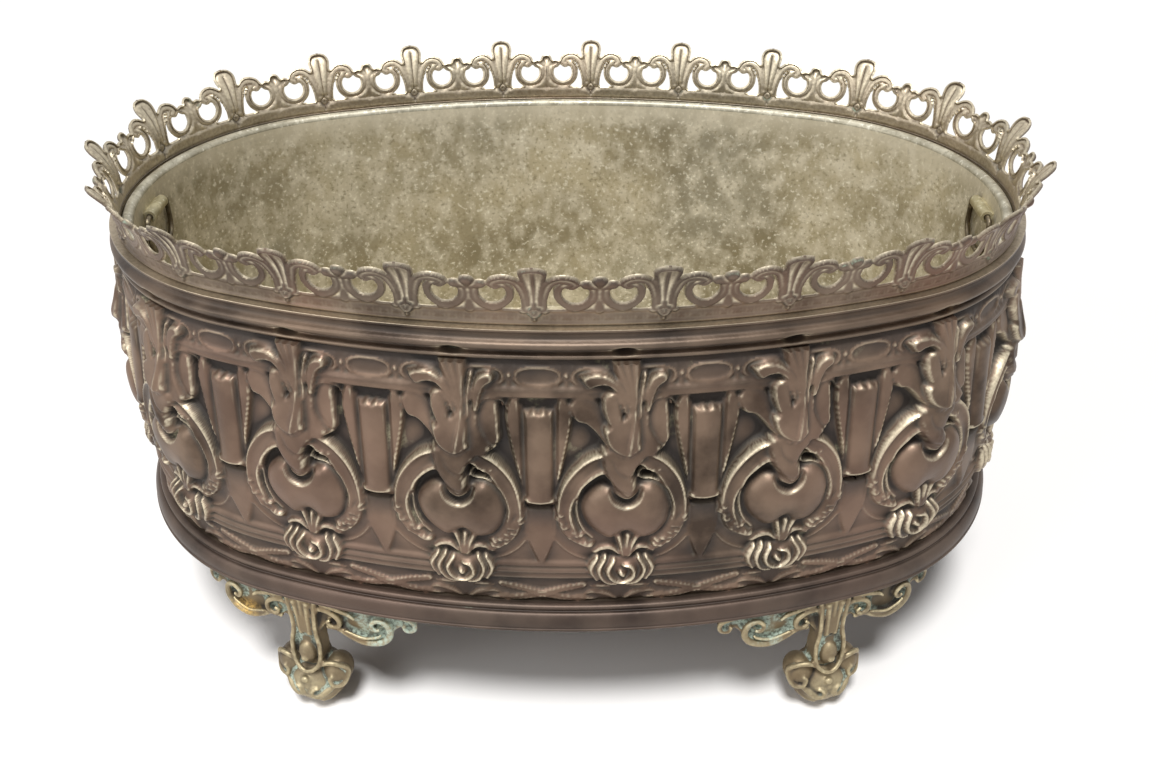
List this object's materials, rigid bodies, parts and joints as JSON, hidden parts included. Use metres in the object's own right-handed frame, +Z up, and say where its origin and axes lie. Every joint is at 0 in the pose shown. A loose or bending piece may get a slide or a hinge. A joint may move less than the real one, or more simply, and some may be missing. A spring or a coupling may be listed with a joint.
{
  "type": "oval brass planter",
  "caption": "Oval pressed-brass planter case with pierced gallery and scroll feet, holding a lift-out zinc liner with hinged wire bails.",
  "frame": {"origin": "on the floor under the middle of the oval, where the four feet stand", "axes": "+X along the oval's length, -Y the front, +Z up"},
  "size_m": [0.4244, 0.265, 0.2411],
  "materials": {
    "pressed_brass": "dark taupe-brown patina on pressed relief, worn to pale metal on the edges",
    "gallery_brass": "dark patina outside, pale worn metal with green and copper stains inside",
    "cast_brass": "cast, dark patina with green bloom in the hollows",
    "plate_brass": "dull dark sheet",
    "screw_brass": "turned, dull",
    "zinc_sheet": "weathered zinc-coated sheet, mottled grey-olive",
    "bail_wire": "tarnished round wire"
  },
  "bodies": {
    "casing": {"front_wall": "pressed_brass", "rear_wall": "pressed_brass", "top_moulding": "pressed_brass", "front_gallery": "gallery_brass", "rear_gallery": "gallery_brass", "base_moulding": "pressed_brass", "bottom_plate": "plate_brass", "seam_straps": "plate_brass", "front_left_foot": "cast_brass", "front_right_foot": "cast_brass", "rear_left_foot": "cast_brass", "rear_right_foot": "cast_brass", "foot_screws": "screw_brass", "foot_washers": "screw_brass"},
    "liner": {"liner_wall": "zinc_sheet", "liner_rim": "zinc_sheet", "liner_bottom": "zinc_sheet", "left_sleeve": "zinc_sheet", "right_sleeve": "zinc_sheet"},
    "left_handle": {"left_bail": "bail_wire"},
    "right_handle": {"right_bail": "bail_wire"}
  },
  "joints": [
    {"name": "liner_lift", "type": "slide", "parent": "casing", "child": "liner", "axis": [0, 0, 1], "range_m": [0, 0.18]},
    {"name": "left_bail_hinge", "type": "hinge", "parent": "liner", "child": "left_handle", "pos_m": [-0.1893, 0, 0.203], "axis": [0, -1, 0], "range_deg": [0, 175]},
    {"name": "right_bail_hinge", "type": "hinge", "parent": "liner", "child": "right_handle", "pos_m": [0.1893, 0, 0.203], "axis": [0, 1, 0], "range_deg": [0, 175]}
  ]
}
